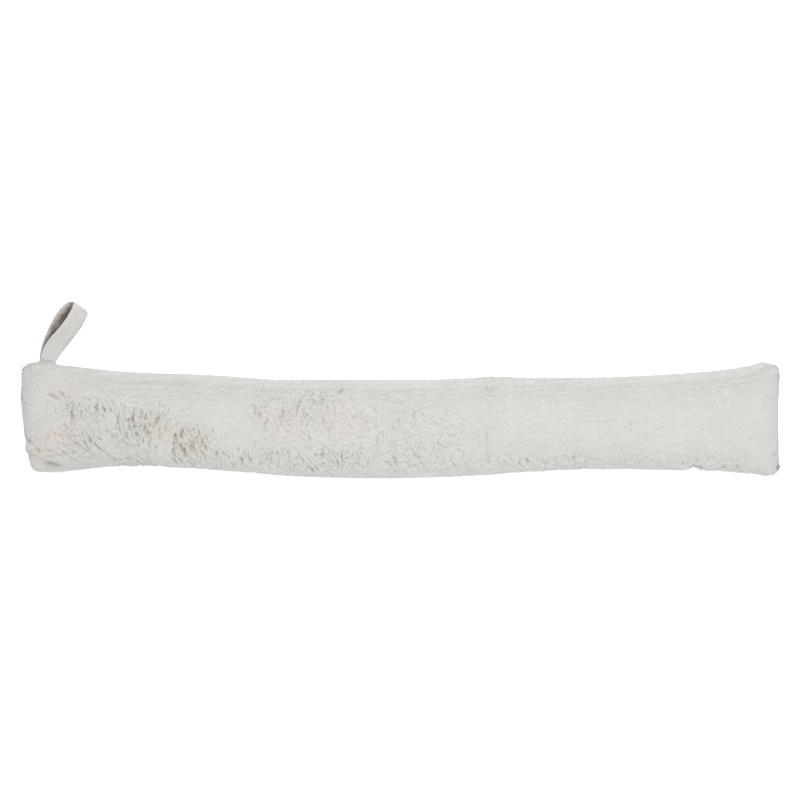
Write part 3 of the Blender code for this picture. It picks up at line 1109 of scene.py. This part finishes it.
def make_loop_pile(ring, tone):
    """The tape's own short pile, which lies along it towards the tip."""
    rng = np.random.default_rng(91)
    across, down = cell_sizes(ring)
    here = Reader(*scattered(across * down, LOOP_STRANDS, rng), *ring.shape[:2])
    run = unit(np.gradient(ring, axis=0))
    round_it = np.roll(ring, -1, 1) - np.roll(ring, 1, 1)
    normal = unit(here.read(unit(np.cross(round_it, run))))
    along = unit(here.read(run))
    beside = unit(np.cross(along, normal))
    ahead = leaning(along, beside, rng.normal(0, 0.22, LOOP_STRANDS))
    half = (LOOP_STRAND_LENGTH / 2 * rng.uniform(0.7, 1.2, LOOP_STRANDS))[:, None]
    lean = np.radians(LOOP_STRAND_LEAN + rng.normal(0, 5, LOOP_STRANDS))
    root = here.read(ring) - normal * 0.3
    middle = root + half * leaning(ahead, normal, lean)
    tip = middle + half * leaning(ahead, normal, 0.4 * lean)
    flat = turned_up(unit(np.cross(ahead, normal)), tip - root, normal)
    shade = unit(normal + rng.normal(0, 0.05, (LOOP_STRANDS, 3)))
    # The short pile takes the tape's tone with its painted shade inside the loop, and its roots are painted
    # darker by a random share
    colour = here.read(tone)
    roots = colour * rng.uniform(0.84, 1.0, LOOP_STRANDS)[:, None]
    place = random_places(LOOP_STRANDS, rng)
    width = LOOP_STRAND_WIDTH * rng.uniform(0.8, 1.2, LOOP_STRANDS)
    return strand_mesh("loop_pile", root, middle, tip, flat, width, shade, (roots, colour, colour), place)


# Materials


def new_material(name):
    material = bpy.data.materials.new(name)
    material.use_nodes = True
    nodes = material.node_tree.nodes
    nodes.clear()
    output = nodes.new("ShaderNodeOutputMaterial")
    shader = nodes.new("ShaderNodeBsdfPrincipled")
    material.node_tree.links.new(shader.outputs["BSDF"], output.inputs["Surface"])
    return material, nodes, material.node_tree.links, shader


def plush_material(name, dark, light, bump):
    """A matt cloth between two colours, in spots of two sizes, tinted by the mesh's tone, which carries
    painted shade.
    """
    material, nodes, links, shader = new_material(name)
    place = nodes.new("ShaderNodeTexCoord")
    spots = nodes.new("ShaderNodeTexNoise")
    fine = nodes.new("ShaderNodeTexNoise")
    for noise, scale, detail in ((spots, 26.0, 3.0), (fine, 420.0, 2.0)):
        noise.inputs["Scale"].default_value = scale
        noise.inputs["Detail"].default_value = detail
        links.new(place.outputs["Object"], noise.inputs["Vector"])
    both = nodes.new("ShaderNodeMath")
    both.operation = "MULTIPLY_ADD"
    both.inputs[1].default_value = 0.5
    links.new(spots.outputs["Fac"], both.inputs[0])
    half = nodes.new("ShaderNodeMath")
    half.operation = "MULTIPLY"
    half.inputs[1].default_value = 0.5
    links.new(fine.outputs["Fac"], half.inputs[0])
    links.new(half.outputs[0], both.inputs[2])
    ramp = nodes.new("ShaderNodeValToRGB")
    ramp.color_ramp.elements[0].position = 0.32
    ramp.color_ramp.elements[0].color = (*dark, 1)
    ramp.color_ramp.elements[1].position = 0.68
    ramp.color_ramp.elements[1].color = (*light, 1)
    links.new(both.outputs[0], ramp.inputs["Fac"])
    tone = nodes.new("ShaderNodeAttribute")
    tone.attribute_name = "tone"
    tint = nodes.new("ShaderNodeMix")
    tint.data_type = "RGBA"
    tint.blend_type = "MULTIPLY"
    tint.inputs["Factor"].default_value = 1.0
    links.new(ramp.outputs["Color"], tint.inputs["A"])
    links.new(tone.outputs["Color"], tint.inputs["B"])
    links.new(tint.outputs["Result"], shader.inputs["Base Color"])
    for socket, value in PLUSH_FINISH.items():
        shader.inputs[socket].default_value = value
    if bump:
        relief = nodes.new("ShaderNodeBump")
        relief.inputs["Strength"].default_value = bump
        relief.inputs["Distance"].default_value = 0.0006
        links.new(fine.outputs["Fac"], relief.inputs["Height"])
        links.new(relief.outputs["Normal"], shader.inputs["Normal"])
    return material


def floor_material():
    material, _, _, shader = new_material("floor_white")
    shader.inputs["Base Color"].default_value = (*FLOOR_COLOUR, 1)
    shader.inputs["Roughness"].default_value = FLOOR_ROUGHNESS
    shader.inputs["Emission Color"].default_value = (1, 1, 1, 1)
    shader.inputs["Emission Strength"].default_value = FLOOR_GLOW
    return material


# Stage


def add_key_light():
    light = bpy.data.lights.new("key", "AREA")
    light.shape = "SQUARE"
    light.size = KEY_SIZE
    light.energy = KEY_POWER
    lamp = new_object("key", light)
    lamp.location = KEY_PLACE
    lamp.rotation_euler = (Vector(KEY_AIM) - Vector(KEY_PLACE)).to_track_quat("-Z", "Y").to_euler()


def make_stage():
    """The camera straight above, the white world, the key light and the floor."""
    scene = bpy.context.scene
    distance = VIEW_WIDTH * MM / SENSOR * LENS
    lens = bpy.data.cameras.new("camera")
    lens.lens = LENS
    lens.sensor_width = SENSOR
    lens.clip_start = 0.1
    lens.clip_end = 100
    camera = new_object("camera", lens)
    camera.location = (0, VIEW_CENTRE_Y * MM, VIEW_PLANE_HEIGHT * MM + distance)
    scene.camera = camera
    world = bpy.data.worlds.new("studio")
    world.use_nodes = True
    background = world.node_tree.nodes["Background"]
    background.inputs["Color"].default_value = (1, 1, 1, 1)
    background.inputs["Strength"].default_value = WORLD_STRENGTH
    scene.world = world
    scene.view_settings.view_transform = "Standard"
    add_key_light()
    bpy.ops.mesh.primitive_plane_add(size=FLOOR_SIZE)
    floor = bpy.context.object
    floor.name = "floor"
    floor.data.materials.append(floor_material())


def drawn_under(grid, normals, height, from_end):
    """The skin, drawn in under the cover's outside by the depth of the pile at each place."""
    underneath = np.clip((2.5 - grid[..., 2]) / 2.5, 0, 1) * np.clip(-normals[..., 2], 0, 1)
    steep = np.clip((0.75 - normals[..., 2]) / 0.7, 0, 1) * np.clip(normals[..., 1] * 3, 0, 1)
    steep = steep * (1 - underneath) * (1 - bell(from_end / END_FADE))
    depth = SKIN_DEPTH + (SKIN_DEPTH_BELOW - SKIN_DEPTH) * underneath
    depth = depth + (SKIN_DEPTH_BACK - SKIN_DEPTH) * steep
    depth = depth - height * (1 - underneath) - swell(grid) * (1 - underneath)
    skin = grid - normals * depth[..., None]
    corner = bell(np.hypot(skin[..., 0] - CORNER[0], skin[..., 1] - CORNER[1]) / CORNER_RADIUS)
    drawn_in = (DRAWN_IN + CORNER_DRAWN_IN * corner) * bell(from_end / END_REACH)
    skin[..., 0] -= np.sign(skin[..., 0]) * drawn_in
    return skin


def main():
    """Builds the stage and every piece, and tells the frame what each one is."""
    cover_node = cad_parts["cover"]
    make_stage()
    seat = seam_seat(cover_node, LOOP_ROOT_X) + Vector((0, SEAT_ROOM, 0))
    loop, ring, loop_tone = make_loop(seat)
    loop_pile = make_loop_pile(ring, loop_tone)
    tape = plush_material("tape", *TAPE_COLOURS, TAPE_BUMP)
    for piece in (loop, loop_pile):
        piece.data.materials.append(tape)
    pad = filled_cover(cover_node)
    grid, along = cover_grid(cover_node, pad)
    if pad:
        bpy.data.objects.remove(pad)
    rows, columns = grid.shape[:2]
    step = cell_sizes(grid)[0]
    t = np.concatenate([np.zeros((rows, 1)), np.cumsum(step, axis=1)[:, :-1]], axis=1)
    girth_share = t / step.sum(1, keepdims=True)
    s = np.repeat(along[:, None], columns, 1)
    from_end = np.minimum(s, s.max() - s)
    length_share = (s + 1) / (along[-1] + 2)
    normals = grid_normals(grid)
    field = pile_field(grid, normals, s, t)
    height = field[0]
    skin = drawn_under(grid, normals, height, from_end)
    skin_normals = unit(smoothed(smoothed(normals, 2, 0, False), 2, 1, True))
    plush = plush_material("plush", *PILE_COLOURS, 0.0)
    under_plush = plush_material("plush_ground", *GROUND_COLOURS, GROUND_BUMP)
    tones = pile_tones(grid, height)
    # The skin's tone holds the tints and the painted shade of the partings
    cover = make_skin(skin, along, girth_share, tones[0] * tones[1])
    cover.data.materials.append(under_plush)
    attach(cover, "root")
    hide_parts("cover")
    for index in range(PILE_PIECES):
        pile = make_pile(index, skin, skin_normals, field, tones, from_end, t, girth_share, length_share)
        pile.data.materials.append(plush)
        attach(pile, "root")
    tufts = make_foot_tufts(skin, skin_normals, seat)
    tufts.data.materials.append(plush)
    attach(tufts, "root")
    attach(loop_pile, "root")
    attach(loop, "root")
    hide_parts("hanging_loop")


main()
